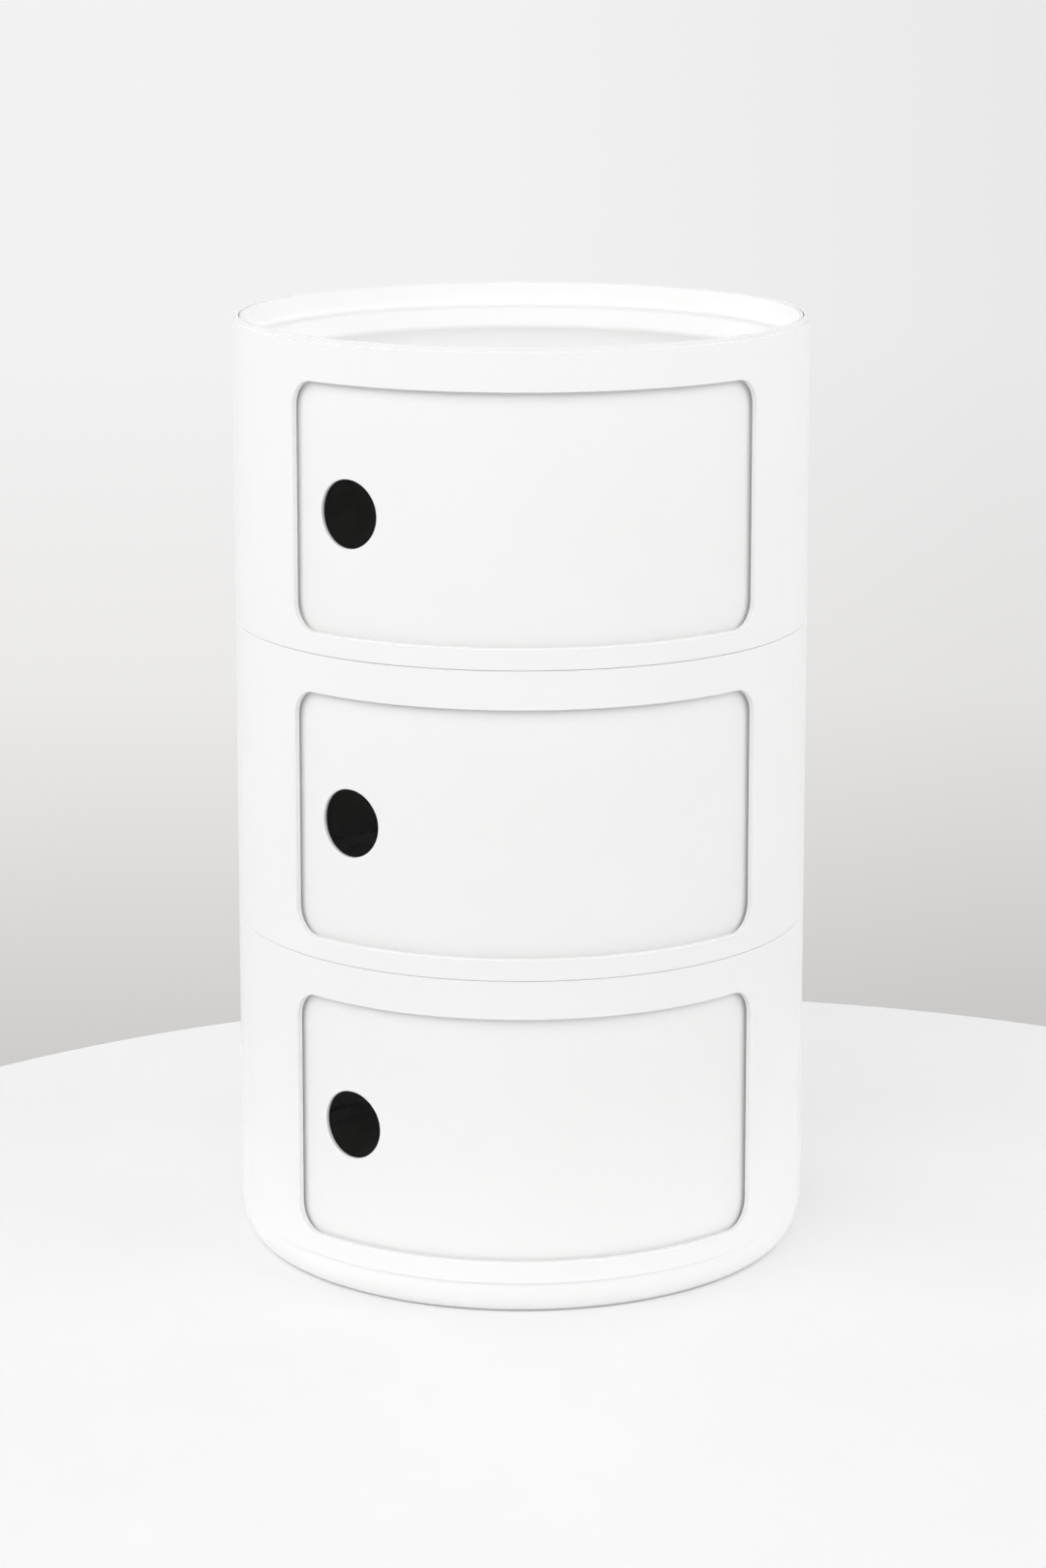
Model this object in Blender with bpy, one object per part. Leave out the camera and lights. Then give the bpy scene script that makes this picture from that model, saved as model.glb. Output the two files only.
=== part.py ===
"""Round storage unit: three stacked modules with curved sliding doors, a plinth and a drop-in tray on top.

The unit stands on z = 0 with its upright axis on Z and its doors facing -Y. Every piece is turned about
that axis or wrapped round it, so every object's origin lies on the axis, at the seam under its own module.
"""

import math

import bmesh
import bpy
from mathutils import Vector

MM = 0.001

# Driving dimensions of the shell
OUTER_RADIUS = 170 * MM
WALL = 3.5 * MM
MODULE_PITCH = 178 * MM
BASE_HEIGHT = 19 * MM
EDGE_CHAMFER = 0.6 * MM

# Fits: pieces at rest on each other, the door between its guides, the door behind the wall and under the
# ledge, and the tray in the ledge
SEAT_GAP = 0.3 * MM
RUNNING_GAP = 0.6 * MM
SETBACK = 2 * MM
HEAD_GAP = 2 * MM
TRAY_GAP = 0.5 * MM

# Spigot on top of each ring, which centres the ring above and carries the deck
SPIGOT_HEIGHT = 2.5 * MM
SPIGOT_THICKNESS = 1.7 * MM

# Deck, the rib on it that guides the foot of the door, and the rail on the wall in front of the foot
DECK_THICKNESS = 2.5 * MM
GUIDE_THICKNESS = 2.5 * MM
RIB_HEIGHT = 5 * MM
RAIL_HEIGHT = 4 * MM

# Ledge inside the top of each wall, with the lip that guides the head of the door
LEDGE_DROP = 14.8 * MM
LEDGE_THICKNESS = 2 * MM
LIP_DEPTH = 7 * MM

# Door opening in the wall
SILL_HEIGHT = 12.5 * MM
HEAD_HEIGHT = 22.3 * MM
OPENING_HALF_ANGLE = math.radians(50.6)
OPENING_CORNER = 16 * MM

# Door, its finger hole and its travel
DOOR_THICKNESS = 2.5 * MM
DOOR_OVERLAP = math.radians(6)
DOOR_CORNER = 6 * MM
DOOR_TRAVEL = math.radians(78)
HOLE_DIAMETER = 39.5 * MM
HOLE_ANGLE = math.radians(-37.4)
HOLE_DROP = 0.5 * MM

# Ribs inside the wall that stop the door when it is shut and when it is open
STOP_WIDTH = 4 * MM
STOP_HEIGHT = 30 * MM

# Tray, whose rim turns up inside the wall and whose side leans in from the ledge to the floor
TRAY_THICKNESS = 2.3 * MM
TRAY_DEPTH = 12 * MM
TRAY_LEAN = 10 * MM
TRAY_CORNER = 6 * MM
TRAY_BEND = 4 * MM
TRAY_STEPS = 4

# Plinth: its face stands back from the wall and tucks in towards the floor
PLINTH_STEP = 1.4 * MM
PLINTH_TUCK = 9.5 * MM
PLINTH_TUCK_HEIGHT = 15.5 * MM
PLINTH_FOOT = 4 * MM
PLINTH_SEAT_DEPTH = 5 * MM

# Facets
TURN_STEPS = 56
COLUMN_ANGLE = math.radians(6)
ARC_STEPS = 5
HOLE_STEPS = 32
WELD = 0.001 * MM

MODULES = ("lower", "middle", "upper")

# Radii that follow from the shell and its fits
WALL_INNER = OUTER_RADIUS - WALL
SPIGOT_OUTER = WALL_INNER + SPIGOT_THICKNESS
REBATE_RADIUS = SPIGOT_OUTER + SEAT_GAP
DOOR_OUTER = WALL_INNER - SETBACK
RAIL_INNER = DOOR_OUTER + RUNNING_GAP
DOOR_INNER = DOOR_OUTER - DOOR_THICKNESS
GUIDE_OUTER = DOOR_INNER - RUNNING_GAP
GUIDE_INNER = GUIDE_OUTER - GUIDE_THICKNESS
TRAY_OUTER = GUIDE_INNER - TRAY_GAP

# Heights above the seam under a module
DECK_BOTTOM = SPIGOT_HEIGHT + SEAT_GAP
DECK_TOP = DECK_BOTTOM + DECK_THICKNESS
LEDGE_TOP = MODULE_PITCH - LEDGE_DROP
LEDGE_BOTTOM = LEDGE_TOP - LEDGE_THICKNESS
DOOR_BOTTOM = DECK_TOP + SEAT_GAP
DOOR_TOP = LEDGE_BOTTOM - HEAD_GAP
HOLE_HEIGHT = (DOOR_BOTTOM + DOOR_TOP) / 2 - HOLE_DROP
DOOR_HALF_ANGLE = OPENING_HALF_ANGLE + DOOR_OVERLAP


def seam_height(module):
    """Height of the seam under a module, counted from 0 at the bottom."""
    return BASE_HEIGHT + module * MODULE_PITCH


def quarter(centre, radii, start_degrees, steps=ARC_STEPS):
    """Points of a quarter ellipse in (radius, height), counter-clockwise from start_degrees."""
    angles = [math.radians(start_degrees + 90 * i / steps) for i in range(steps + 1)]
    return [
        (centre[0] + radii[0] * math.cos(a), centre[1] + radii[1] * math.sin(a))
        for a in angles
    ]


def filleted(corners, steps=ARC_STEPS):
    """Points of an outline from corners of (radius, height, fillet), with an arc at each fillet."""
    points = []
    for i, (radius, height, fillet) in enumerate(corners):
        corner = Vector((radius, height))
        if not fillet:
            points.append(tuple(corner))
            continue
        back = (Vector(corners[i - 1][:2]) - corner).normalized()
        onward = (Vector(corners[i + 1][:2]) - corner).normalized()
        half = back.angle(onward) / 2
        centre = corner + (back + onward).normalized() * fillet / math.sin(half)
        first = (corner + back * fillet / math.tan(half) - centre).normalized()
        last = (corner + onward * fillet / math.tan(half) - centre).normalized()
        points += [tuple(centre + fillet * first.slerp(last, k / steps)) for k in range(steps + 1)]
    return points


def facing_out(bm):
    """Turns every face outwards, once its points are in place."""
    bm.normal_update()
    bmesh.ops.recalc_face_normals(bm, faces=bm.faces)
    return bm


def turned(outline):
    """A bmesh turned about Z from an outline of (radius, height) points. An outline that starts and ends on
    the axis makes a disc, and any other is closed into a ring."""
    bm = bmesh.new()
    verts = [bm.verts.new((radius, 0, height)) for radius, height in outline]
    pairs = list(zip(verts, verts[1:]))
    if outline[0][0] > 0:
        pairs.append((verts[-1], verts[0]))
    edges = [bm.edges.new(pair) for pair in pairs]
    bmesh.ops.spin(
        bm,
        geom=verts + edges,
        cent=(0, 0, 0),
        axis=(0, 0, 1),
        angle=math.tau,
        steps=TURN_STEPS,
        use_merge=True,
    )
    bmesh.ops.remove_doubles(bm, verts=bm.verts, dist=WELD)
    return facing_out(bm)


def wrapped(angles, heights, radii, corner=0.0):
    """A bmesh panel between two angles, two heights and two radii. It is drawn flat, as arc length on its
    outer face, its four corners are rounded there, and it is then wrapped round Z in narrow columns."""
    outer = max(radii)
    columns = max(1, round((angles[1] - angles[0]) / COLUMN_ANGLE))
    bm = bmesh.new()
    bmesh.ops.create_cube(bm, size=1)
    middle = (angles[0] + angles[1]) / 2 * outer
    for vert in bm.verts:
        x, y, z = vert.co
        vert.co = (
            middle + x * (angles[1] - angles[0]) * outer,
            (radii[0] + radii[1]) / 2 + y * (radii[1] - radii[0]),
            (heights[0] + heights[1]) / 2 + z * (heights[1] - heights[0]),
        )
    bm.normal_update()
    if corner:
        half_depth = abs(radii[1] - radii[0]) / 2
        across = [e for e in bm.edges if abs(e.verts[0].co.y - e.verts[1].co.y) > half_depth]
        bmesh.ops.bevel(
            bm, geom=across, offset=corner, segments=ARC_STEPS, affect="EDGES", profile=0.5, material=-1
        )
    for i in range(1, columns):
        cut = (angles[0] + (angles[1] - angles[0]) * i / columns) * outer
        geometry = bm.verts[:] + bm.edges[:] + bm.faces[:]
        bmesh.ops.bisect_plane(bm, geom=geometry, dist=WELD, plane_co=(cut, 0, 0), plane_no=(1, 0, 0))
    for vert in bm.verts:
        angle, radius, height = vert.co.x / outer, vert.co.y, vert.co.z
        vert.co = (radius * math.sin(angle), -radius * math.cos(angle), height)
    bmesh.ops.triangulate(bm, faces=bm.faces)
    return facing_out(bm)


def plastic(name, colour, roughness):
    material = bpy.data.materials.new(name)
    material.use_nodes = True
    shader = material.node_tree.nodes["Principled BSDF"]
    shader.inputs["Base Color"].default_value = (*colour, 1)
    shader.inputs["Roughness"].default_value = roughness
    shader.inputs["Metallic"].default_value = 0
    return material


def mesh_from(bm, name):
    mesh = bpy.data.meshes.new(name)
    bm.to_mesh(mesh)
    bm.free()
    return mesh


def place(name, mesh, height, material):
    """Stands an object on the axis at this height, shaded smooth except over its edges."""
    piece = bpy.data.objects.new(name, mesh)
    bpy.context.scene.collection.objects.link(piece)
    piece.location.z = height
    piece.parent = unit
    if not mesh.materials:
        mesh.materials.append(material)
    mesh.shade_smooth()
    mesh.set_sharp_from_angle(angle=math.radians(30))
    return piece


def helper(name, bm):
    """A cutter or an addition for a Boolean, which isn't part of the unit itself."""
    tool = bpy.data.objects.new(name, mesh_from(bm, name))
    bpy.context.scene.collection.objects.link(tool)
    tool.hide_render = True
    tool.display_type = "WIRE"
    return tool


def combined(name, bm, steps):
    """The mesh left when a body has been through Boolean steps of (operation, bmesh)."""
    body = helper(name + "_blank", bm)
    for number, (operation, tool_bm) in enumerate(steps):
        modifier = body.modifiers.new(operation.title(), "BOOLEAN")
        modifier.operation = operation
        modifier.solver = "EXACT"
        modifier.object = helper(f"{name}_tool_{number}", tool_bm)
    bpy.context.view_layer.update()
    evaluated = body.evaluated_get(bpy.context.evaluated_depsgraph_get())
    mesh = bpy.data.meshes.new_from_object(evaluated)
    mesh.name = name
    tools = [modifier.object for modifier in body.modifiers]
    for obj in [body, *tools]:
        bpy.data.objects.remove(obj)
    return mesh


def wall_outline():
    """Section of a module's wall: rebate, outer face, shoulder, spigot, the ledge with its lip, and the rail."""
    rebate_top = DECK_TOP + SEAT_GAP
    return [
        (REBATE_RADIUS, SEAT_GAP),
        (OUTER_RADIUS - EDGE_CHAMFER, SEAT_GAP),
        (OUTER_RADIUS, SEAT_GAP + EDGE_CHAMFER),
        (OUTER_RADIUS, MODULE_PITCH - EDGE_CHAMFER),
        (OUTER_RADIUS - EDGE_CHAMFER, MODULE_PITCH),
        (SPIGOT_OUTER, MODULE_PITCH),
        (SPIGOT_OUTER, MODULE_PITCH + SPIGOT_HEIGHT),
        (WALL_INNER, MODULE_PITCH + SPIGOT_HEIGHT),
        (WALL_INNER, LEDGE_TOP),
        (GUIDE_INNER, LEDGE_TOP),
        (GUIDE_INNER, LEDGE_BOTTOM - LIP_DEPTH),
        (GUIDE_OUTER, LEDGE_BOTTOM - LIP_DEPTH),
        (GUIDE_OUTER, LEDGE_BOTTOM),
        (WALL_INNER, LEDGE_BOTTOM),
        (WALL_INNER, rebate_top + RAIL_HEIGHT),
        (RAIL_INNER, rebate_top + RAIL_HEIGHT),
        (RAIL_INNER, rebate_top),
        (REBATE_RADIUS, rebate_top),
    ]


def door_stop(near_angle, side):
    """A rib on the inside of the wall, just past where the door's edge comes to rest on that side."""
    sunk = WALL_INNER + WALL / 2
    near = near_angle + side * SEAT_GAP / DOOR_INNER
    far = near + side * STOP_WIDTH / WALL_INNER
    return wrapped(sorted((near, far)), (SILL_HEIGHT, SILL_HEIGHT + STOP_HEIGHT), (DOOR_INNER, sunk))


def wall_mesh():
    """The turned wall, with the opening cut through to the door's track and the two stops added."""
    opening = wrapped(
        (-OPENING_HALF_ANGLE, OPENING_HALF_ANGLE),
        (SILL_HEIGHT, MODULE_PITCH - HEAD_HEIGHT),
        ((DOOR_INNER + DOOR_OUTER) / 2, OUTER_RADIUS + WALL),
        OPENING_CORNER,
    )
    shut_stop = door_stop(-DOOR_HALF_ANGLE, -1)
    open_stop = door_stop(DOOR_HALF_ANGLE + DOOR_TRAVEL, 1)
    steps = [("DIFFERENCE", opening), ("UNION", shut_stop), ("UNION", open_stop)]
    return combined("wall", turned(wall_outline()), steps)


def deck_mesh():
    """A flat round floor with the rib that the foot of the door runs behind."""
    outline = [
        (0, DECK_BOTTOM),
        (SPIGOT_OUTER, DECK_BOTTOM),
        (SPIGOT_OUTER, DECK_TOP),
        (GUIDE_OUTER, DECK_TOP),
        (GUIDE_OUTER, DECK_TOP + RIB_HEIGHT),
        (GUIDE_INNER, DECK_TOP + RIB_HEIGHT),
        (GUIDE_INNER, DECK_TOP),
        (0, DECK_TOP),
    ]
    return mesh_from(turned(outline), "deck")


def door_mesh():
    """A curved panel with a round finger hole near half its height."""
    panel = wrapped(
        (-DOOR_HALF_ANGLE, DOOR_HALF_ANGLE), (DOOR_BOTTOM, DOOR_TOP), (DOOR_INNER, DOOR_OUTER), DOOR_CORNER
    )
    drill = bmesh.new()
    bmesh.ops.create_cone(
        drill,
        segments=HOLE_STEPS,
        radius1=HOLE_DIAMETER / 2,
        radius2=HOLE_DIAMETER / 2,
        depth=HOLE_DIAMETER,
        cap_ends=True,
    )
    for vert in drill.verts:
        across, up, along = vert.co
        radius = DOOR_OUTER + along
        vert.co = (
            radius * math.sin(HOLE_ANGLE) + across * math.cos(HOLE_ANGLE),
            -radius * math.cos(HOLE_ANGLE) + across * math.sin(HOLE_ANGLE),
            HOLE_HEIGHT + up,
        )
    return combined("door", panel, [("DIFFERENCE", facing_out(drill))])


def tray_mesh():
    """A dish of one thickness, which rests on the ledge inside the top wall and ends level with its top."""
    shelf_bottom = LEDGE_TOP + SEAT_GAP
    shelf_top = shelf_bottom + TRAY_THICKNESS
    rim_top = MODULE_PITCH + SPIGOT_HEIGHT - SEAT_GAP
    rim_outer = WALL_INNER - TRAY_GAP
    rim_inner = rim_outer - TRAY_THICKNESS
    floor_top = shelf_top - TRAY_DEPTH
    floor_bottom = floor_top - TRAY_THICKNESS
    slope = TRAY_LEAN / TRAY_DEPTH
    level_thickness = TRAY_THICKNESS * math.hypot(1, slope)
    dish_inner = TRAY_OUTER - level_thickness + TRAY_THICKNESS * slope
    corners = [
        (0, floor_bottom, 0),
        (TRAY_OUTER - TRAY_LEAN, floor_bottom, TRAY_CORNER + TRAY_THICKNESS),
        (TRAY_OUTER, shelf_bottom, 0),
        (rim_outer, shelf_bottom, 0),
        (rim_outer, rim_top, 0),
        (rim_inner, rim_top, 0),
        (rim_inner, shelf_top, TRAY_BEND),
        (dish_inner, shelf_top, TRAY_BEND),
        (dish_inner - TRAY_LEAN, floor_top, TRAY_CORNER),
        (0, floor_top, 0),
    ]
    return mesh_from(turned(filleted(corners, TRAY_STEPS)), "top_tray")


def base_mesh():
    """The plinth: an upright band that tucks in to a flat foot, with a spigot on top. It is open below."""
    face = OUTER_RADIUS - PLINTH_STEP
    foot_outer = face - PLINTH_TUCK
    foot_inner = foot_outer - PLINTH_FOOT
    tuck = quarter((foot_outer, PLINTH_TUCK_HEIGHT), (PLINTH_TUCK, PLINTH_TUCK_HEIGHT), 270)
    outline = [
        (foot_inner, 0),
        *tuck,
        (face, BASE_HEIGHT),
        (SPIGOT_OUTER, BASE_HEIGHT),
        (SPIGOT_OUTER, BASE_HEIGHT + SPIGOT_HEIGHT),
        (WALL_INNER, BASE_HEIGHT + SPIGOT_HEIGHT),
        (WALL_INNER, BASE_HEIGHT - PLINTH_SEAT_DEPTH),
        (foot_inner, PLINTH_FOOT),
    ]
    return mesh_from(turned(outline), "base_ring")


for leftover in list(bpy.data.objects):
    bpy.data.objects.remove(leftover)

unit = bpy.data.objects.new("storage_unit", None)
bpy.context.scene.collection.objects.link(unit)

shell_white = plastic("white_shell_plastic", (0.88, 0.88, 0.87), 0.28)
door_white = plastic("white_door_plastic", (0.87, 0.87, 0.87), 0.25)
deck_white = plastic("white_deck_plastic", (0.86, 0.86, 0.85), 0.35)

shared_wall = wall_mesh()
shared_deck = deck_mesh()
shared_door = door_mesh()

place("base_ring", base_mesh(), 0, shell_white)
for number, module in enumerate(MODULES):
    seam = seam_height(number)
    place(module + "_wall", shared_wall, seam, shell_white)
    place(module + "_deck", shared_deck, seam, deck_white)
    place(module + "_door", shared_door, seam, door_white)
place("top_tray", tray_mesh(), seam_height(len(MODULES) - 1), deck_white)
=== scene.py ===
# %% [markdown]
# # Dressing a round storage unit
# The real object is a white plastic cylinder: three modules stacked on a low plinth, each closed by a
# curved door that slides round inside its wall, and a loose tray let into the top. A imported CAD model
# already says where every piece is and how it moves. This lesson models each piece again with smooth
# curves and rounded edges, gives it the finish of moulded plastic, and lights it as in a studio.

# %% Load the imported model
import math

import bmesh
import bpy
from mathutils import Matrix, Vector


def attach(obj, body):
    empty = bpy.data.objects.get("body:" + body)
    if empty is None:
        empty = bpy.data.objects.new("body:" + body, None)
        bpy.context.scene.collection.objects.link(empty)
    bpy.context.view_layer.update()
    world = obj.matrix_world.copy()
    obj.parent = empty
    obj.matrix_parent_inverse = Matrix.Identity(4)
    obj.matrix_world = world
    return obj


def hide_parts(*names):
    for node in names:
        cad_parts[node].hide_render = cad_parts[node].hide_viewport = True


MM = 0.001

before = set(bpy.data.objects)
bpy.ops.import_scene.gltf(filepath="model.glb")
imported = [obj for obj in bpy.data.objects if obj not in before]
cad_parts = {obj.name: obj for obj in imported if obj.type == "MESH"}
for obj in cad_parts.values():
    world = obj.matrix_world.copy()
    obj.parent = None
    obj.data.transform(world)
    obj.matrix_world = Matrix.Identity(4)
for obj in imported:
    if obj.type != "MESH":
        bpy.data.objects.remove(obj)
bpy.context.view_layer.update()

# %% [markdown]
# ## The sizes
# A turned object needs few numbers. The outside radius, the height of a module, the thicknesses and the
# gaps are named once, with the same lengths as in the CAD source, and the other radii and heights follow
# from them. They could all be typed in, but then a wall, the door behind it and the deck below it might
# drift apart.

# %% Driving sizes
OUTER_RADIUS = 170 * MM
WALL = 3.5 * MM
MODULE_PITCH = 178 * MM
BASE_HEIGHT = 19 * MM
SPIGOT_HEIGHT = 2.5 * MM
SPIGOT_THICKNESS = 1.7 * MM
DECK_THICKNESS = 2.5 * MM
DOOR_THICKNESS = 2.5 * MM
GUIDE_THICKNESS = 2.5 * MM
LEDGE_DROP = 14.8 * MM
LEDGE_THICKNESS = 2 * MM

# Gaps: under a piece at rest, round the door between its guides, and between the door's face and the wall
SEAT_GAP = 0.3 * MM
RUNNING_GAP = 0.6 * MM
SETBACK = 2 * MM

SEAMS = {
    module: BASE_HEIGHT + number * MODULE_PITCH
    for number, module in enumerate(("lower", "middle", "upper"))
}
print("Seams in mm:", {module: round(seam / MM, 1) for module, seam in SEAMS.items()})

# %% Radii, and heights above the seam under a module
WALL_INNER = OUTER_RADIUS - WALL
SPIGOT_OUTER = WALL_INNER + SPIGOT_THICKNESS
DOOR_OUTER = WALL_INNER - SETBACK
DOOR_INNER = DOOR_OUTER - DOOR_THICKNESS
GUIDE_OUTER = DOOR_INNER - RUNNING_GAP
GUIDE_INNER = GUIDE_OUTER - GUIDE_THICKNESS

DECK_BOTTOM = SPIGOT_HEIGHT + SEAT_GAP
DECK_TOP = DECK_BOTTOM + DECK_THICKNESS
LEDGE_TOP = MODULE_PITCH - LEDGE_DROP
LEDGE_BOTTOM = LEDGE_TOP - LEDGE_THICKNESS
print("Door between radii of", round(DOOR_INNER / MM, 1), "and", round(DOOR_OUTER / MM, 1), "mm")

# %% [markdown]
# ## Drawing a section
# Every ring here can be drawn as half a slice: a closed outline of radius and height. The outline could
# be typed in with all the points of its rounded corners, but it is easier to draw the sharp corners and
# let a vertex bevel round them. A bevel is told how far to reach along the two edges, so the reach is
# worked out from the fillet radius and the corner's angle. Moulded plastic has no sharp edges, and it is
# the small fillets that catch the light.

# %% A section with rounded corners
SMALL_FILLET = 1.5 * MM
SMALL_STEPS = 4
LARGE_STEPS = 12


def bevel(bm, geom, reach, affect, steps):
    """Rounds vertices or edges of a bmesh with a round profile."""
    bmesh.ops.bevel(
        bm, geom=geom, offset=reach, affect=affect, segments=steps, profile=0.5, material=-1
    )


def section_face(corners):
    """A bmesh with one flat face, from corners of (radius along Y, height, fillet)."""
    bm = bmesh.new()
    points = [Vector((0, radius, height)) for radius, height, fillet in corners]
    verts = [bm.verts.new(point) for point in points]
    bm.faces.new(verts)
    for i, vert in enumerate(verts):
        fillet = corners[i][2]
        if fillet:
            back = points[i - 1] - points[i]
            onward = points[(i + 1) % len(points)] - points[i]
            reach = fillet / math.tan(back.angle(onward) / 2)
            steps = SMALL_STEPS if fillet < SMALL_FILLET else LARGE_STEPS
            bevel(bm, [vert], reach, "VERTICES", steps)
    return bm


print("Fillets under", round(SMALL_FILLET / MM, 1), "mm have", SMALL_STEPS, "steps, others", LARGE_STEPS)

# %% [markdown]
# ## Turning it
# A spin is Blender's lathe: it repeats an outline round an axis and joins each copy to the last. The face
# in the outline goes first, or it would be left inside as a wall. Where the outline touches the axis, all
# the copies of a point land in one place and are merged to close the pole. The faces are then turned
# outwards, which has to wait until the points are in place and the normals are up to date.

# %% The lathe
TURN_STEPS = 240
WELD = 0.001 * MM


def facing_out(bm):
    """Turns the faces of a closed bmesh outwards."""
    bm.normal_update()
    bmesh.ops.recalc_face_normals(bm, faces=bm.faces)
    return bm


def turned(bm):
    """The section in this bmesh, spun once round Z into a ring, or into a disc if it touches the axis."""
    bmesh.ops.delete(bm, geom=bm.faces[:], context="FACES_ONLY")
    on_axis = [edge for edge in bm.edges if all(vert.co.y < WELD for vert in edge.verts)]
    bmesh.ops.delete(bm, geom=on_axis, context="EDGES")
    bmesh.ops.spin(
        bm,
        geom=bm.verts[:] + bm.edges[:],
        cent=(0, 0, 0),
        axis=(0, 0, 1),
        angle=math.tau,
        steps=TURN_STEPS,
        use_merge=True,
    )
    bmesh.ops.remove_doubles(bm, verts=bm.verts, dist=WELD)
    return facing_out(bm)


print("One turn of the lathe:", TURN_STEPS, "steps")

# %% [markdown]
# ## Standing a piece in its place
# Each finished mesh becomes an object at the origin, with its place in the mesh itself. It rides on the CAD
# body that carries it, replaces the coarse CAD node, and takes its finish from one of the material slots.
# Smooth shading over a thin fillet next to a wide face would look puffy, so the normals are weighted by
# face area.

# %% Placing helpers
SHARP_ANGLE = math.radians(40)
pieces = {}


def put_in_scene(name, data):
    """A new object at the origin, from a mesh, a lamp or a camera."""
    made = bpy.data.objects.new(name, data)
    bpy.context.scene.collection.objects.link(made)
    return made


def smooth_object(name, bm, place):
    """An object with its place in its mesh, shaded smooth except across sharp edges."""
    mesh = bpy.data.meshes.new(name)
    bm.to_mesh(mesh)
    mesh.transform(Matrix.Translation(place))
    mesh.shade_smooth()
    mesh.set_sharp_from_angle(angle=SHARP_ANGLE)
    return put_in_scene(name, mesh)


def stand(name, bm, height, body, node, slot):
    """Makes the piece for one CAD node, lifted by height."""
    piece = smooth_object(name, bm, (0, 0, height))
    even = piece.modifiers.new("Even shading", "WEIGHTED_NORMAL")
    even.keep_sharp = True
    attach(piece, body)
    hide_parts(node)
    pieces.setdefault(slot, []).append(piece)
    print(f"{name}: {len(piece.data.polygons)} faces, on {body}")


print("Shading stays sharp past", round(math.degrees(SHARP_ANGLE)), "degrees")

# %% [markdown]
# ## The plinth
# The lowest ring stands back a little from the wall above, so that a thin shadow runs under the wall, and
# it tucks in towards the floor in a tall quarter ellipse. A vertex bevel can only make the same reach both
# ways. So the section is first stretched sideways until the tuck is as wide as it is high, rounded there
# as a circle, and squeezed back.

# %% Plinth ring
PLINTH_STEP = 1.4 * MM
PLINTH_TUCK = 9.5 * MM
PLINTH_TUCK_HEIGHT = 15.5 * MM
PLINTH_FOOT = 4 * MM
PLINTH_SEAT_DEPTH = 5 * MM
EDGE_FILLET = 0.25 * MM
plinth_face = OUTER_RADIUS - PLINTH_STEP
plinth_inner = plinth_face - PLINTH_TUCK - PLINTH_FOOT

plinth = section_face([
    (plinth_inner, 0, 0),
    (plinth_face, 0, 0),
    (plinth_face, BASE_HEIGHT, EDGE_FILLET),
    (SPIGOT_OUTER, BASE_HEIGHT, 0),
    (SPIGOT_OUTER, BASE_HEIGHT + SPIGOT_HEIGHT, EDGE_FILLET),
    (WALL_INNER, BASE_HEIGHT + SPIGOT_HEIGHT, EDGE_FILLET),
    (WALL_INNER, BASE_HEIGHT - PLINTH_SEAT_DEPTH, 0),
    (plinth_inner, PLINTH_FOOT, 0),
])
stretch = PLINTH_TUCK_HEIGHT / PLINTH_TUCK
bmesh.ops.scale(plinth, vec=(1, stretch, 1), verts=plinth.verts)
on_floor = [vert for vert in plinth.verts if vert.co.z < WELD]
toe = max(on_floor, key=lambda vert: vert.co.y)
bevel(plinth, [toe], PLINTH_TUCK_HEIGHT, "VERTICES", LARGE_STEPS)
bmesh.ops.scale(plinth, vec=(1, 1 / stretch, 1), verts=plinth.verts)
stand("plinth_ring", turned(plinth), 0, "carcass", "base_ring", "shell")

# %% [markdown]
# ## The decks
# Each module has a flat round floor, trapped between the spigot of the ring below and the wall above. The
# rib that stands up near its edge keeps the foot of the sliding door in its track. A plate and a separate
# ring could be joined, but one section drawn from the axis outwards makes both in a single spin, with no
# seam between them.

# %% Three decks
RIB_HEIGHT = 5 * MM

deck = turned(section_face([
    (0, DECK_BOTTOM, 0),
    (SPIGOT_OUTER, DECK_BOTTOM, EDGE_FILLET),
    (SPIGOT_OUTER, DECK_TOP, EDGE_FILLET),
    (GUIDE_OUTER, DECK_TOP, 0),
    (GUIDE_OUTER, DECK_TOP + RIB_HEIGHT, EDGE_FILLET),
    (GUIDE_INNER, DECK_TOP + RIB_HEIGHT, EDGE_FILLET),
    (GUIDE_INNER, DECK_TOP, EDGE_FILLET),
    (0, DECK_TOP, 0),
]))
for module, seam in SEAMS.items():
    stand(module + "_deck_disc", deck, seam, "carcass", module + "_deck", "deck")

# %% [markdown]
# ## Drawing flat, then wrapping
# A rounded opening in a curved wall is hard to cut cleanly once the wall is round: the cut slices across
# the columns of faces, and its edge can't be rounded well. Unrolled, the same wall is a straight bar, the
# opening is a plain rounded rectangle, and its edge bevels like any other. So walls and doors are drawn
# flat, with arc length along X and radius along Y, cut into narrow columns, and rolled up last.

# %% Helpers for flat work
COLUMN_ANGLE = math.tau / TURN_STEPS


def flat_block(low, high):
    """A bmesh box between two corners."""
    low, high = Vector(low), Vector(high)
    bm = bmesh.new()
    bmesh.ops.create_cube(bm, size=1)
    bmesh.ops.scale(bm, vec=high - low, verts=bm.verts)
    bmesh.ops.translate(bm, vec=(low + high) / 2, verts=bm.verts)
    return facing_out(bm)


def split_at(bm, x):
    """Cuts the faces along one upright line, and leaves both sides."""
    geometry = bm.verts[:] + bm.edges[:] + bm.faces[:]
    bmesh.ops.bisect_plane(bm, geom=geometry, dist=WELD, plane_co=(x, 0, 0), plane_no=(1, 0, 0))


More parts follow.
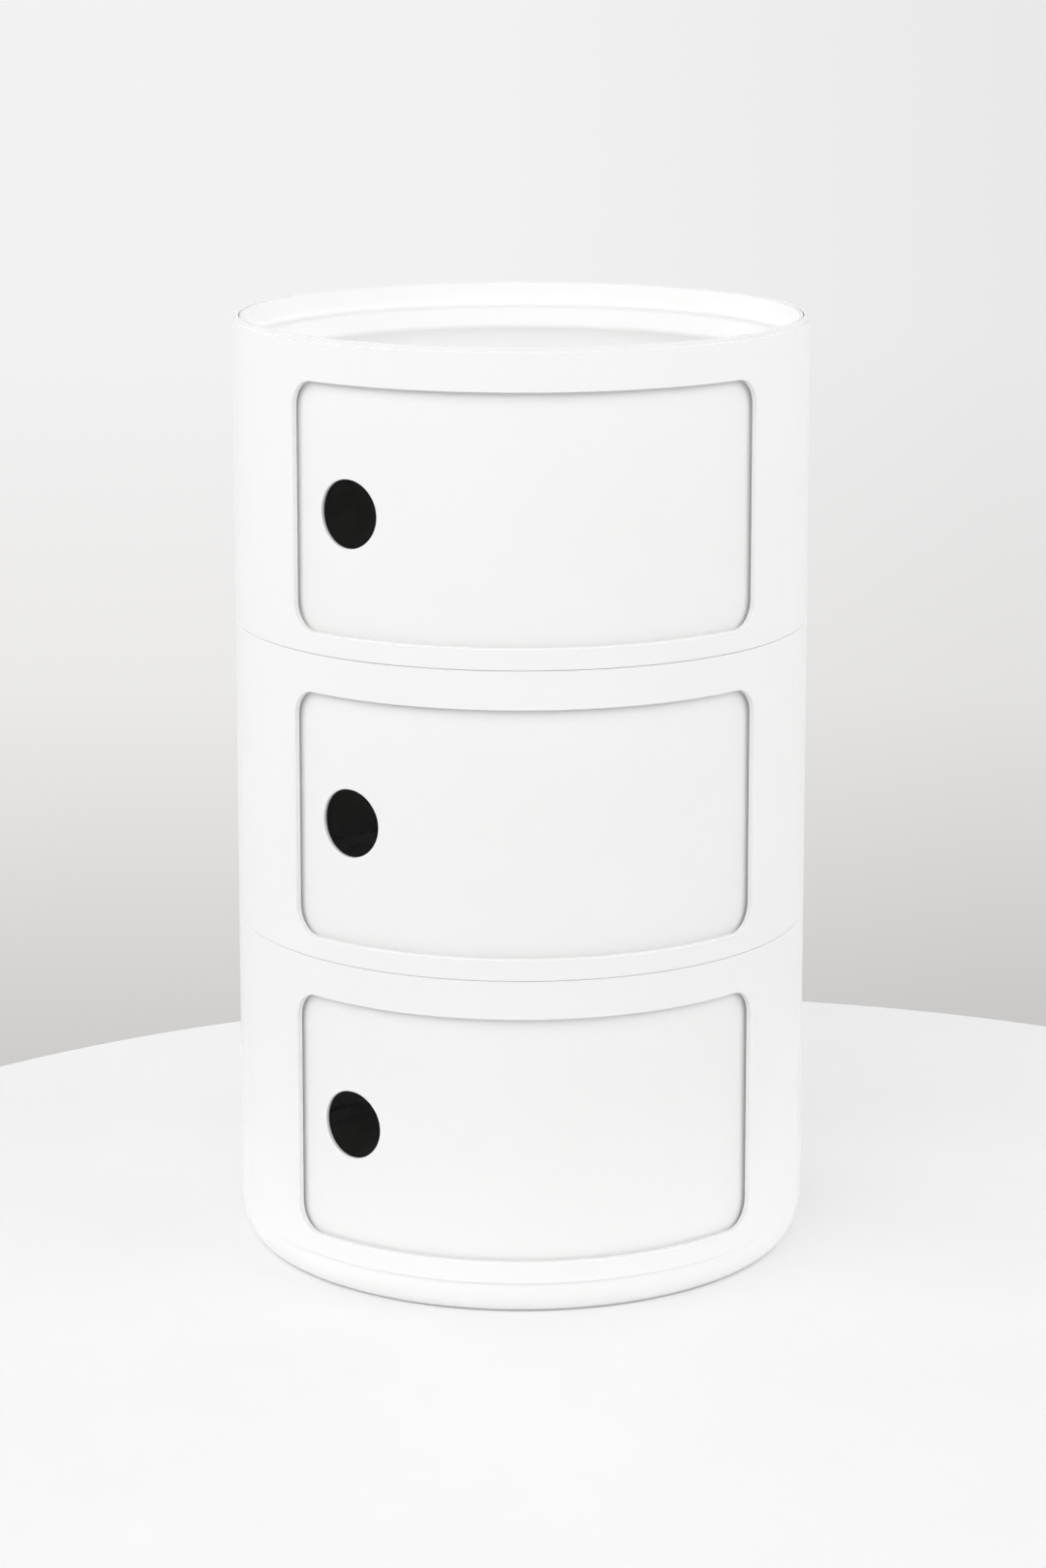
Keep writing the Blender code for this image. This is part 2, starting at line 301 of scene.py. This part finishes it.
def rolled(bm, radius):
    """Cuts a flat piece into columns and rolls it up round Z, with X = 0 to the front.

    The radius is where X is true arc length.
    """
    width = COLUMN_ANGLE * radius
    left = min(vert.co.x for vert in bm.verts)
    right = max(vert.co.x for vert in bm.verts)
    for column in range(math.ceil(left / width), math.floor(right / width) + 1):
        split_at(bm, column * width)
    for vert in bm.verts:
        angle, reach = vert.co.x / radius, vert.co.y
        vert.co = (reach * math.sin(angle), -reach * math.cos(angle), vert.co.z)
    bmesh.ops.remove_doubles(bm, verts=bm.verts, dist=WELD)
    return facing_out(bm)


print("Columns in mm at the outer face:", round(COLUMN_ANGLE * OUTER_RADIUS / MM, 2))

# %% [markdown]
# ## Cutting and joining flat pieces
# Booleans combine whole solids. They run here as modifiers on a blank that is thrown away afterwards, and
# the result comes back as a bmesh for more bevels. A face with a hole in it would get odd connecting
# edges, so the blank is split beforehand where a hole or a joint will be, and each part of the face keeps
# a simple outline.

# %% Boolean helper
def combined(bm, steps):
    """The bmesh left when a blank has been through Boolean steps of (operation, bmesh)."""
    tools = [tool for operation, tool in steps]
    blanks = []
    for part in [bm, *tools]:
        mesh = bpy.data.meshes.new("blank")
        part.to_mesh(mesh)
        blanks.append(put_in_scene("blank", mesh))
    for (operation, tool), blank in zip(steps, blanks[1:]):
        boolean = blanks[0].modifiers.new(operation.title(), "BOOLEAN")
        boolean.operation = operation
        boolean.solver = "EXACT"
        boolean.object = blank
    result = bmesh.new()
    result.from_object(blanks[0], bpy.context.evaluated_depsgraph_get())
    for blank in blanks:
        bpy.data.objects.remove(blank)
    return facing_out(result)


# %% [markdown]
# ## The module wall
# The wall's section has a rebate at the bottom that sits over the spigot below, a rail in front of the
# door's foot, a shoulder and a spigot at the top, and inside a ledge with a hanging lip, which hides and
# guides the head of the door. Extruded over one full turn of arc length it is a straight bar. The opening
# is a rounded block taken out of it, and two short ribs that stop the door are added behind.

# %% Wall bar
REBATE_RADIUS = SPIGOT_OUTER + SEAT_GAP
REBATE_TOP = DECK_TOP + SEAT_GAP
RAIL_INNER = DOOR_OUTER + RUNNING_GAP
RAIL_HEIGHT = 4 * MM
LIP_DEPTH = 7 * MM
HALF_TURN = math.pi * OUTER_RADIUS

wall_bar = section_face([
    (REBATE_RADIUS, SEAT_GAP, 0),
    (OUTER_RADIUS, SEAT_GAP, EDGE_FILLET),
    (OUTER_RADIUS, MODULE_PITCH, EDGE_FILLET),
    (SPIGOT_OUTER, MODULE_PITCH, 0),
    (SPIGOT_OUTER, MODULE_PITCH + SPIGOT_HEIGHT, EDGE_FILLET),
    (WALL_INNER, MODULE_PITCH + SPIGOT_HEIGHT, EDGE_FILLET),
    (WALL_INNER, LEDGE_TOP, 0),
    (GUIDE_INNER, LEDGE_TOP, EDGE_FILLET),
    (GUIDE_INNER, LEDGE_BOTTOM - LIP_DEPTH, EDGE_FILLET),
    (GUIDE_OUTER, LEDGE_BOTTOM - LIP_DEPTH, EDGE_FILLET),
    (GUIDE_OUTER, LEDGE_BOTTOM, 0),
    (WALL_INNER, LEDGE_BOTTOM, 0),
    (WALL_INNER, REBATE_TOP + RAIL_HEIGHT, 0),
    (RAIL_INNER, REBATE_TOP + RAIL_HEIGHT, EDGE_FILLET),
    (RAIL_INNER, REBATE_TOP, EDGE_FILLET),
    (REBATE_RADIUS, REBATE_TOP, 0),
])
grown = bmesh.ops.extrude_face_region(wall_bar, geom=wall_bar.faces[:])["geom"]
far_end = [item for item in grown if isinstance(item, bmesh.types.BMVert)]
bmesh.ops.translate(wall_bar, vec=(2 * HALF_TURN, 0, 0), verts=far_end)
bmesh.ops.translate(wall_bar, vec=(-HALF_TURN, 0, 0), verts=wall_bar.verts)
split_at(wall_bar, 0)
print("Wall bar:", len(facing_out(wall_bar).faces), "faces,", round(2 * HALF_TURN / MM), "mm long")

# %% Rounded block for the opening
SILL = 12.5 * MM
HEAD_DROP = 22.3 * MM
HEAD = MODULE_PITCH - HEAD_DROP
OPENING_HALF_ANGLE = math.radians(50.6)
OPENING_CORNER = 16 * MM

# A unit direction runs along an axis if its part along it is above the first, across it if below the second
ALONG = 0.9
ACROSS = 0.1


def round_corners(bm, radius):
    """Rounds the four corners of a flat block, seen from the front."""
    through = []
    for edge in bm.edges:
        run = (edge.verts[0].co - edge.verts[1].co).normalized()
        if abs(run.y) > ALONG:
            through.append(edge)
    bevel(bm, through, radius, "EDGES", LARGE_STEPS)
    return facing_out(bm)


opening_half = OPENING_HALF_ANGLE * OUTER_RADIUS
opening = flat_block((-opening_half, DOOR_OUTER, SILL), (opening_half, OUTER_RADIUS + SEAT_GAP, HEAD))
round_corners(opening, OPENING_CORNER)
print("Opening in mm:", round(2 * opening_half / MM, 1), "wide,", round((HEAD - SILL) / MM, 1), "high")

# %% Stops for the door
DOOR_OVERLAP = math.radians(6)
DOOR_HALF_ANGLE = OPENING_HALF_ANGLE + DOOR_OVERLAP
DOOR_TRAVEL = math.radians(78)
STOP_WIDTH = 4 * MM
STOP_HEIGHT = 30 * MM


def door_stop(angle, side):
    """A rib just past where the door's edge comes to rest, sunk half way into the wall."""
    near = angle * OUTER_RADIUS + side * SEAT_GAP
    far = near + side * STOP_WIDTH
    mid_wall = (WALL_INNER + OUTER_RADIUS) / 2
    block = flat_block(
        (min(near, far), DOOR_INNER, SILL), (max(near, far), mid_wall, SILL + STOP_HEIGHT)
    )
    inside = [edge for edge in block.edges if all(vert.co.y < WALL_INNER for vert in edge.verts)]
    bevel(block, inside, EDGE_FILLET, "EDGES", SMALL_STEPS)
    return facing_out(block)


shut_stop = door_stop(-DOOR_HALF_ANGLE, -1)
open_stop = door_stop(DOOR_HALF_ANGLE + DOOR_TRAVEL, 1)
for stop in (shut_stop, open_stop):
    sides = [vert.co.x for vert in stop.verts]
    split_at(wall_bar, min(sides))
    split_at(wall_bar, max(sides))
wall = combined(wall_bar, [("DIFFERENCE", opening), ("UNION", shut_stop), ("UNION", open_stop)])
print("Wall with opening and stops:", len(wall.faces), "faces")

# %% [markdown]
# ## Rounding the opening
# The edge of the opening is what the eye follows on this object: a bright line along the sill and a dark
# one under the head. A Bevel modifier could round every sharp edge at once, but all to one radius. So the
# edges are picked out by where they lie: in the wall's outer or inner face, next to a face that looks
# along the wall. Inside, that takes in the feet of the stops as well. Once they are bevelled, the two end
# caps of the bar go, it is rolled up, and its ends merge at the back.

# %% Bevel and roll the walls
OPENING_FILLET = 0.5 * MM


def rim_edges(bm, radius):
    """Sharp edges of the flat face at this radius, apart from the bar's two ends."""
    rim = []
    for edge in bm.edges:
        in_face = all(abs(vert.co.y - radius) < WELD for vert in edge.verts)
        off_ends = all(abs(vert.co.x) < HALF_TURN - WELD for vert in edge.verts)
        facing = [abs(face.normal.y) for face in edge.link_faces]
        if in_face and off_ends and min(facing) < ACROSS and max(facing) > ALONG:
            rim.append(edge)
    return rim


for radius, fillet in ((OUTER_RADIUS, OPENING_FILLET), (WALL_INNER, EDGE_FILLET)):
    rim = [edge for edge in rim_edges(wall, radius) if SILL - WELD < edge.verts[0].co.z < HEAD + WELD]
    bevel(wall, rim, fillet, "EDGES", SMALL_STEPS)
    print("Bevelled", len(rim), "edges at radius", round(radius / MM, 1))
caps = []
for face in wall.faces:
    if all(abs(abs(vert.co.x) - HALF_TURN) < WELD for vert in face.verts):
        caps.append(face)
bmesh.ops.delete(wall, geom=caps, context="FACES_ONLY")
rolled(wall, OUTER_RADIUS)
for module, seam in SEAMS.items():
    stand(module + "_shell", wall, seam, "carcass", module + "_wall", "shell")

# %% [markdown]
# ## The sliding doors
# A door is a thin curved panel with rounded corners and one round finger hole on the left, at half its
# height, by which it is pushed open to the right. It is drawn flat like the wall. The hole is drilled as a
# short cylinder lying along the radius, and all its sharp edges are rounded before it is rolled up.

# %% Door panel
DOOR_BOTTOM = DECK_TOP + SEAT_GAP
HEAD_GAP = 2 * MM
DOOR_TOP = LEDGE_BOTTOM - HEAD_GAP
DOOR_CORNER = 6 * MM
HOLE_RADIUS = 19.75 * MM
HOLE_ANGLE = math.radians(-37.4)
HOLE_DROP = 0.5 * MM
HOLE_STEPS = 96

door_half = DOOR_HALF_ANGLE * DOOR_OUTER
hole_x = HOLE_ANGLE * DOOR_OUTER
hole_z = (DOOR_BOTTOM + DOOR_TOP) / 2 - HOLE_DROP
panel = flat_block((-door_half, DOOR_INNER, DOOR_BOTTOM), (door_half, DOOR_OUTER, DOOR_TOP))
round_corners(panel, DOOR_CORNER)
split_at(panel, hole_x)

drill = bmesh.new()
bmesh.ops.create_cone(
    drill,
    cap_ends=True,
    segments=HOLE_STEPS,
    radius1=HOLE_RADIUS,
    radius2=HOLE_RADIUS,
    depth=HOLE_RADIUS,
)
bmesh.ops.rotate(drill, matrix=Matrix.Rotation(math.radians(90), 3, "X"), verts=drill.verts)
bmesh.ops.translate(drill, vec=(hole_x, (DOOR_INNER + DOOR_OUTER) / 2, hole_z), verts=drill.verts)
door = combined(panel, [("DIFFERENCE", facing_out(drill))])
print("Door panel:", len(door.faces), "faces, hole", round(2 * HOLE_RADIUS / MM, 1), "mm across")

# %% Round the door's edges and roll it
HOLE_FILLET = 0.6 * MM


def runs_round_hole(edge):
    """Whether an edge of the flat door runs round the finger hole."""
    reaches = [math.dist((vert.co.x, vert.co.z), (hole_x, hole_z)) for vert in edge.verts]
    return max(reaches) < HOLE_RADIUS + WELD


for radius in (DOOR_OUTER, DOOR_INNER):
    rim = rim_edges(door, radius)
    hole_rim = [edge for edge in rim if runs_round_hole(edge)]
    panel_rim = [edge for edge in rim if not runs_round_hole(edge)]
    bevel(door, hole_rim, HOLE_FILLET, "EDGES", SMALL_STEPS)
    bevel(door, panel_rim, EDGE_FILLET, "EDGES", SMALL_STEPS)
rolled(door, DOOR_OUTER)
for module, seam in SEAMS.items():
    stand(module + "_sliding_door", door, seam, module + "_door", module + "_door", "door")

# %% [markdown]
# ## The tray
# The loose tray rests on the ledge inside the top wall. Its rim turns up along the wall and ends just
# below the top, its side leans in to a flat floor, and all of it is one thickness, as a thin moulding is.
# A sheet could be given its thickness by a modifier, but the section shows both faces and their curves at
# once. It bends softly everywhere, so that no line shows from the rim to the floor. Under the floor's
# corner the curve has the same centre and a radius larger by the thickness.

# %% Drop-in tray
TRAY_THICKNESS = 2.3 * MM
TRAY_DEPTH = 12 * MM
TRAY_LEAN = 10 * MM
TRAY_CORNER = 6 * MM
TRAY_BEND = 4 * MM
TRAY_GAP = 0.5 * MM

tray_outer = GUIDE_INNER - TRAY_GAP
rim_outer = WALL_INNER - TRAY_GAP
rim_inner = rim_outer - TRAY_THICKNESS
rim_top = MODULE_PITCH + SPIGOT_HEIGHT - SEAT_GAP
shelf_bottom = LEDGE_TOP + SEAT_GAP
shelf_top = shelf_bottom + TRAY_THICKNESS
floor_top = shelf_top - TRAY_DEPTH
slope = TRAY_LEAN / TRAY_DEPTH
dish_inner = tray_outer - TRAY_THICKNESS * math.hypot(1, slope) + TRAY_THICKNESS * slope
tray = turned(section_face([
    (0, floor_top - TRAY_THICKNESS, 0),
    (tray_outer - TRAY_LEAN, floor_top - TRAY_THICKNESS, TRAY_CORNER + TRAY_THICKNESS),
    (tray_outer, shelf_bottom, EDGE_FILLET),
    (rim_outer, shelf_bottom, EDGE_FILLET),
    (rim_outer, rim_top, EDGE_FILLET),
    (rim_inner, rim_top, EDGE_FILLET),
    (rim_inner, shelf_top, TRAY_BEND),
    (dish_inner, shelf_top, TRAY_BEND),
    (dish_inner - TRAY_LEAN, floor_top, TRAY_CORNER),
    (0, floor_top, 0),
]))
stand("drop_in_tray", tray, SEAMS["upper"], "top_tray", "top_tray", "tray")

# %% [markdown]
# ## Colours and nodes
# Colours are written as sRGB hex values, as a paint program shows them, and shaders want linear light, so
# one function converts them. One more adds a node with its settings and links, which keeps a material
# readable as a short list.

# %% Colour and node helpers
def linear(hex_colour):
    """The linear light of an sRGB hex value, by the standard sRGB curve."""
    channels = [int(hex_colour[i:i + 2], 16) / 255 for i in (1, 3, 5)]
    return (*(c / 12.92 if c <= 0.04045 else ((c + 0.055) / 1.055) ** 2.4 for c in channels), 1)


def add_node(tree, kind, feeds=None, **settings):
    """Adds a node. Feeds maps an input to a value, or to the output that it is linked from."""
    node = tree.nodes.new(kind)
    for name, value in settings.items():
        setattr(node, name, value)
    for socket, value in (feeds or {}).items():
        if isinstance(value, bpy.types.NodeSocket):
            tree.links.new(value, node.inputs[socket])
        else:
            node.inputs[socket].default_value = value
    return node


print("Linear light of #F7F7F7:", [round(channel, 3) for channel in linear("#F7F7F7")[:3]])

# %% [markdown]
# ## Moulded plastic
# The unit is ABS, coloured right through and moulded against polished steel. Up close such a surface is
# not quite flat: it has a faint orange peel a few millimetres wide, its gloss changes a little where the
# plastic cooled unevenly, and its white drifts by a shade over a hand's width. Hairline rub marks run
# round the doors, where they slide. A plain white would do from afar, but it looks computed up close. The
# patterns are all noise, with scales worked out from those sizes.

# %% A smooth white surface
PLASTIC_IOR = 1.53
CLOUD_SIZE = 70 * MM
PEEL_SIZE = 3.5 * MM
RUB_HEIGHT = 0.8 * MM
RUB_LENGTH = 120 * MM
NOISE_LOW, NOISE_HIGH = 0.3, 0.7

# A Mix node has sockets of the same name for each kind of value, so they go by number
FLOAT_A, FLOAT_B, FLOAT_RESULT = 2, 3, 0
COLOUR_A, COLOUR_B, COLOUR_RESULT = 6, 7, 2


def smooth_white(name, white, shade, roughness, peel_depth, rubbed):
    """A white that drifts to a shade, with a range of roughness, orange peel, and a share of rub marks."""
    material = bpy.data.materials.new(name)
    material.use_nodes = True
    tree = material.node_tree
    shader = tree.nodes["Principled BSDF"]
    shader.inputs["IOR"].default_value = PLASTIC_IOR
    place = add_node(tree, "ShaderNodeTexCoord").outputs["Object"]
    cloud = add_node(tree, "ShaderNodeTexNoise", {"Vector": place, "Scale": 1 / CLOUD_SIZE, "Detail": 3})
    tint = add_node(
        tree,
        "ShaderNodeMix",
        {"Factor": cloud.outputs["Fac"], COLOUR_A: linear(white), COLOUR_B: linear(shade)},
        data_type="RGBA",
    )
    tree.links.new(tint.outputs[COLOUR_RESULT], shader.inputs["Base Color"])
    stretched = add_node(
        tree,
        "ShaderNodeMapping",
        {"Vector": place, "Scale": (1 / RUB_LENGTH, 1 / RUB_LENGTH, 1 / RUB_HEIGHT)},
    )
    rubs = add_node(
        tree, "ShaderNodeTexNoise", {"Vector": stretched.outputs["Vector"], "Scale": 1, "Detail": 2}
    )
    wear = add_node(
        tree,
        "ShaderNodeMix",
        {"Factor": rubbed, FLOAT_A: cloud.outputs["Fac"], FLOAT_B: rubs.outputs["Fac"]},
    )
    gloss = add_node(
        tree,
        "ShaderNodeMapRange",
        {
            "Value": wear.outputs[FLOAT_RESULT],
            "From Min": NOISE_LOW,
            "From Max": NOISE_HIGH,
            "To Min": roughness[0],
            "To Max": roughness[1],
        },
    )
    tree.links.new(gloss.outputs["Result"], shader.inputs["Roughness"])
    peel = add_node(tree, "ShaderNodeTexNoise", {"Vector": place, "Scale": 1 / PEEL_SIZE, "Detail": 1})
    bump = add_node(
        tree, "ShaderNodeBump", {"Height": peel.outputs["Fac"], "Distance": peel_depth, "Strength": 1}
    )
    tree.links.new(bump.outputs["Normal"], shader.inputs["Normal"])
    return material


# %% Finishes of the pieces
# A shell from a polished mould is glossy and hides its peel, a door is the same and a little rubbed, and
# the decks and the tray come from a plainer mould, with a satin face. The tray's whites are a little darker
# than the shell's: that is painted shade, which tones down its brightly lit inside.
FINISHES = {
    "shell": ("polished_moulded_abs_shell", "#F7F7F7", "#F4F4F3", (0.19, 0.265), 0.012 * MM, 0.2),
    "door": ("polished_moulded_abs_door", "#F6F6F6", "#F3F3F2", (0.18, 0.265), 0.010 * MM, 0.6),
    "deck": ("satin_moulded_abs_deck", "#F4F4F3", "#F0F0EF", (0.34, 0.44), 0.018 * MM, 0.3),
    # The tray is the same white plastic as the shell; its darker whites are painted shade
    "tray": ("satin_moulded_abs_tray", "#F2F2F2", "#EFEFEE", (0.42, 0.52), 0.016 * MM, 0.3),
}
for slot, members in pieces.items():
    plastic = smooth_white(*FINISHES[slot])
    for piece in members:
        piece.data.materials.append(plastic)
    print(plastic.name, "on", [piece.name for piece in members])

# %% [markdown]
# ## The floor
# The unit stands on a plain pale round floor, a board with a matt lacquer. It is a short disc, turned like
# the decks, and wide enough that its far edge makes a low curve behind the unit. A square board would show
# a straight edge instead. The lacquer is much duller than the plastic, so that the floor stays even and
# shows only a soft shadow.

# %% Floor
FLOOR_RADIUS = 642 * MM
FLOOR_PLACE = (70 * MM, -181 * MM, 0)
FLOOR_THICKNESS = 20 * MM
FLOOR_FILLET = 4 * MM
FLOOR_SHINE = 0.2

board = turned(section_face([
    (0, -FLOOR_THICKNESS, 0),
    (FLOOR_RADIUS, -FLOOR_THICKNESS, FLOOR_FILLET),
    (FLOOR_RADIUS, 0, FLOOR_FILLET),
    (0, 0, 0),
]))
floor = smooth_object("round_floor", board, FLOOR_PLACE)
lacquer = smooth_white("matt_lacquered_floor", "#F9F9F9", "#F6F6F6", (0.5, 0.6), 0.01 * MM, 0)
lacquer.node_tree.nodes["Principled BSDF"].inputs["Specular IOR Level"].default_value = FLOOR_SHINE
floor.data.materials.append(lacquer)
print("Floor radius in mm:", round(FLOOR_RADIUS / MM))

# %% [markdown]
# ## The room
# Beyond the floor's edge there is only the world. The camera, reflections and glass see a painted room: a
# grey wall behind the unit, lighter higher up and darker to the right, and even pale walls at the sides
# and in front. Everything else gets the light of another room: a ring of soft boxes a little above eye
# level, a dark ceiling, and what the room's floor throws back. One room could serve for both, but then the
# background's tone and the light on the object couldn't be set apart. A direction's X, Y and Z say where
# in the room it points, and run from -1 to 1.

# %% What the camera and reflections see
LOW_GREY, MIDDLE_GREY, HIGH_GREY = "#CFCDCC", "#EBEAE9", "#F3F2F2"
GREY_LOW, GREY_HIGH = -0.3, -0.12
RIGHT_SHADE = 0.92
SHADE_REACH = 0.14
TURN_START, TURN_END = 0.16, 0.3
PALE = 0.8

world = bpy.data.worlds.new("soft_room")
bpy.context.scene.world = world
world.use_nodes = True
tree = world.node_tree
tree.nodes.clear()
direction = add_node(tree, "ShaderNodeTexCoord").outputs["Generated"]
axes = add_node(tree, "ShaderNodeSeparateXYZ", {"Vector": direction}).outputs
height = add_node(
    tree, "ShaderNodeMapRange", {"Value": axes["Z"], "From Min": GREY_LOW, "From Max": GREY_HIGH}
)
grey = add_node(tree, "ShaderNodeValToRGB", {"Fac": height.outputs["Result"]})
stops = grey.color_ramp.elements
stops[0].color = linear(LOW_GREY)
stops[1].color = linear(HIGH_GREY)
stops.new(0.5).color = linear(MIDDLE_GREY)
shade = add_node(
    tree,
    "ShaderNodeMapRange",
    {"Value": axes["X"], "From Min": 0, "From Max": SHADE_REACH, "To Min": 1, "To Max": RIGHT_SHADE},
)
behind = add_node(
    tree, "ShaderNodeBackground", {"Color": grey.outputs["Color"], "Strength": shade.outputs["Result"]}
)
pale = add_node(tree, "ShaderNodeBackground", {"Color": (1, 1, 1, 1), "Strength": PALE})
print("Grey wall from", LOW_GREY, "to", HIGH_GREY, "and pale walls at", PALE)

# %% From the grey wall to the pale ones
# The pale walls begin where a direction turns far enough to either side, or towards the front.
sideways = add_node(tree, "ShaderNodeMath", {0: axes["X"]}, operation="ABSOLUTE")
beside = add_node(
    tree,
    "ShaderNodeMapRange",
    {"Value": sideways.outputs[0], "From Min": TURN_START, "From Max": TURN_END},
)
before = add_node(tree, "ShaderNodeMapRange", {"Value": axes["Y"], "From Min": TURN_END, "From Max": 0})
around = add_node(
    tree,
    "ShaderNodeMath",
    {0: beside.outputs["Result"], 1: before.outputs["Result"]},
    operation="MAXIMUM",
)
seen = add_node(
    tree, "ShaderNodeMixShader", {0: around.outputs[0], 1: behind.outputs[0], 2: pale.outputs[0]}
)
print("Walls change between", TURN_START, "and", TURN_END, "to the side")

# %% What lights the unit
# Strength by how far upwards a direction points. A ramp comes with a stop at each end, and these two go.
ROOM_LIGHT = {-0.3: 0.5, -0.1: 0, 0.1: 0, 0.3: 1, 0.5: 1, 0.7: 0}
ROOM_STRENGTH = 1.78

level = add_node(tree, "ShaderNodeMapRange", {"Value": axes["Z"], "From Min": -1, "From Max": 1})
room = add_node(tree, "ShaderNodeValToRGB", {"Fac": level.outputs["Result"]})
levels = room.color_ramp.elements
for upward, strength in ROOM_LIGHT.items():
    levels.new((upward + 1) / 2).color = (strength, strength, strength, 1)
levels.remove(levels[-1])
levels.remove(levels[0])
light = add_node(
    tree, "ShaderNodeBackground", {"Color": room.outputs["Color"], "Strength": ROOM_STRENGTH}
)
print("Room light of up to", ROOM_STRENGTH, "from", len(levels), "stops")

# %% One world for both
rays = add_node(tree, "ShaderNodeLightPath").outputs
viewed = rays["Is Camera Ray"]
for ray in ("Is Glossy Ray", "Is Transmission Ray"):
    viewed = add_node(tree, "ShaderNodeMath", {0: viewed, 1: rays[ray]}, operation="MAXIMUM").outputs[0]
both = add_node(tree, "ShaderNodeMixShader", {0: viewed, 1: light.outputs[0], 2: seen.outputs[0]})
add_node(tree, "ShaderNodeOutputWorld", {"Surface": both.outputs[0]})
print("World:", len(tree.nodes), "nodes")

# %% [markdown]
# ## Lamps
# The light is soft and mostly even. Three large area lamps in front hang above the rim, so that the head
# of each opening throws a thin shadow on the door. A sun lamp would be simpler, but its shadows are hard.
# The larger a lamp is for its distance, the softer its edge in the shine of the plastic. Two weaker ones
# behind lighten the shadows on the floor. Their power is kept low, so that the white hardly clips.

# %% Five soft lamps
# Each lamp's place and width in metres, and its power in watts
LAMPS = {
    "left": ((-2.1, -0.95, 1.9), 1.8, 14),
    "right": ((2.1, -0.95, 1.9), 1.8, 15),
    "front": ((-0.5, -2.0, 2.3), 1.8, 17),
    "back_left": ((-1.7, 1.3, 1.3), 1.4, 8),
    "back_right": ((1.7, 1.3, 1.3), 1.4, 6.5),
}
AIM = Vector((0, 0, 0.3))

for name, (place, width, power) in LAMPS.items():
    lamp = bpy.data.lights.new(name, "AREA")
    lamp.shape = "SQUARE"
    lamp.size = width
    lamp.energy = power
    hung = put_in_scene(name, lamp)
    hung.location = place
    hung.rotation_euler = (AIM - hung.location).to_track_quat("-Z", "Y").to_euler()
    print(f"{name}: {power} W, {width} m wide")

# %% [markdown]
# ## The camera
# The camera stands a little over two metres in front and above the rim, and looks slightly down. Its lens
# is shifted downwards, which keeps the unit's sides nearly upright. A camera tilted further down would
# frame the unit as well, but its sides would lean in towards the floor. The values come from matching the
# rim, the seams and the floor line, in pixels of the 1080 by 1619 frame.

# %% Camera
IMAGE_WIDTH, IMAGE_HEIGHT = 1080, 1619
SENSOR = 36
FOCAL_PIXELS = 4006.7
AXIS_PIXEL_X, AXIS_PIXEL_Y = 538.2, 505
CAMERA_DISTANCE = 2275.7 * MM
CAMERA_HEIGHT = 821 * MM
LOOK_DOWN = math.radians(9.267)
AZIMUTH = math.radians(-1.025)

optics = bpy.data.cameras.new("front_view")
optics.sensor_width = SENSOR
optics.lens = FOCAL_PIXELS * SENSOR / IMAGE_HEIGHT
optics.shift_x = (IMAGE_WIDTH / 2 - AXIS_PIXEL_X) / IMAGE_HEIGHT
optics.shift_y = (AXIS_PIXEL_Y - IMAGE_HEIGHT / 2) / IMAGE_HEIGHT
camera = put_in_scene("front_view", optics)
camera.location = (
    CAMERA_DISTANCE * math.sin(AZIMUTH), -CAMERA_DISTANCE * math.cos(AZIMUTH), CAMERA_HEIGHT
)
camera.rotation_euler = (math.radians(90) - LOOK_DOWN, 0, AZIMUTH)
bpy.context.scene.camera = camera
bpy.context.scene.view_settings.view_transform = "Standard"
print("Lens in mm:", round(optics.lens, 1), "shift:", round(optics.shift_y, 3))
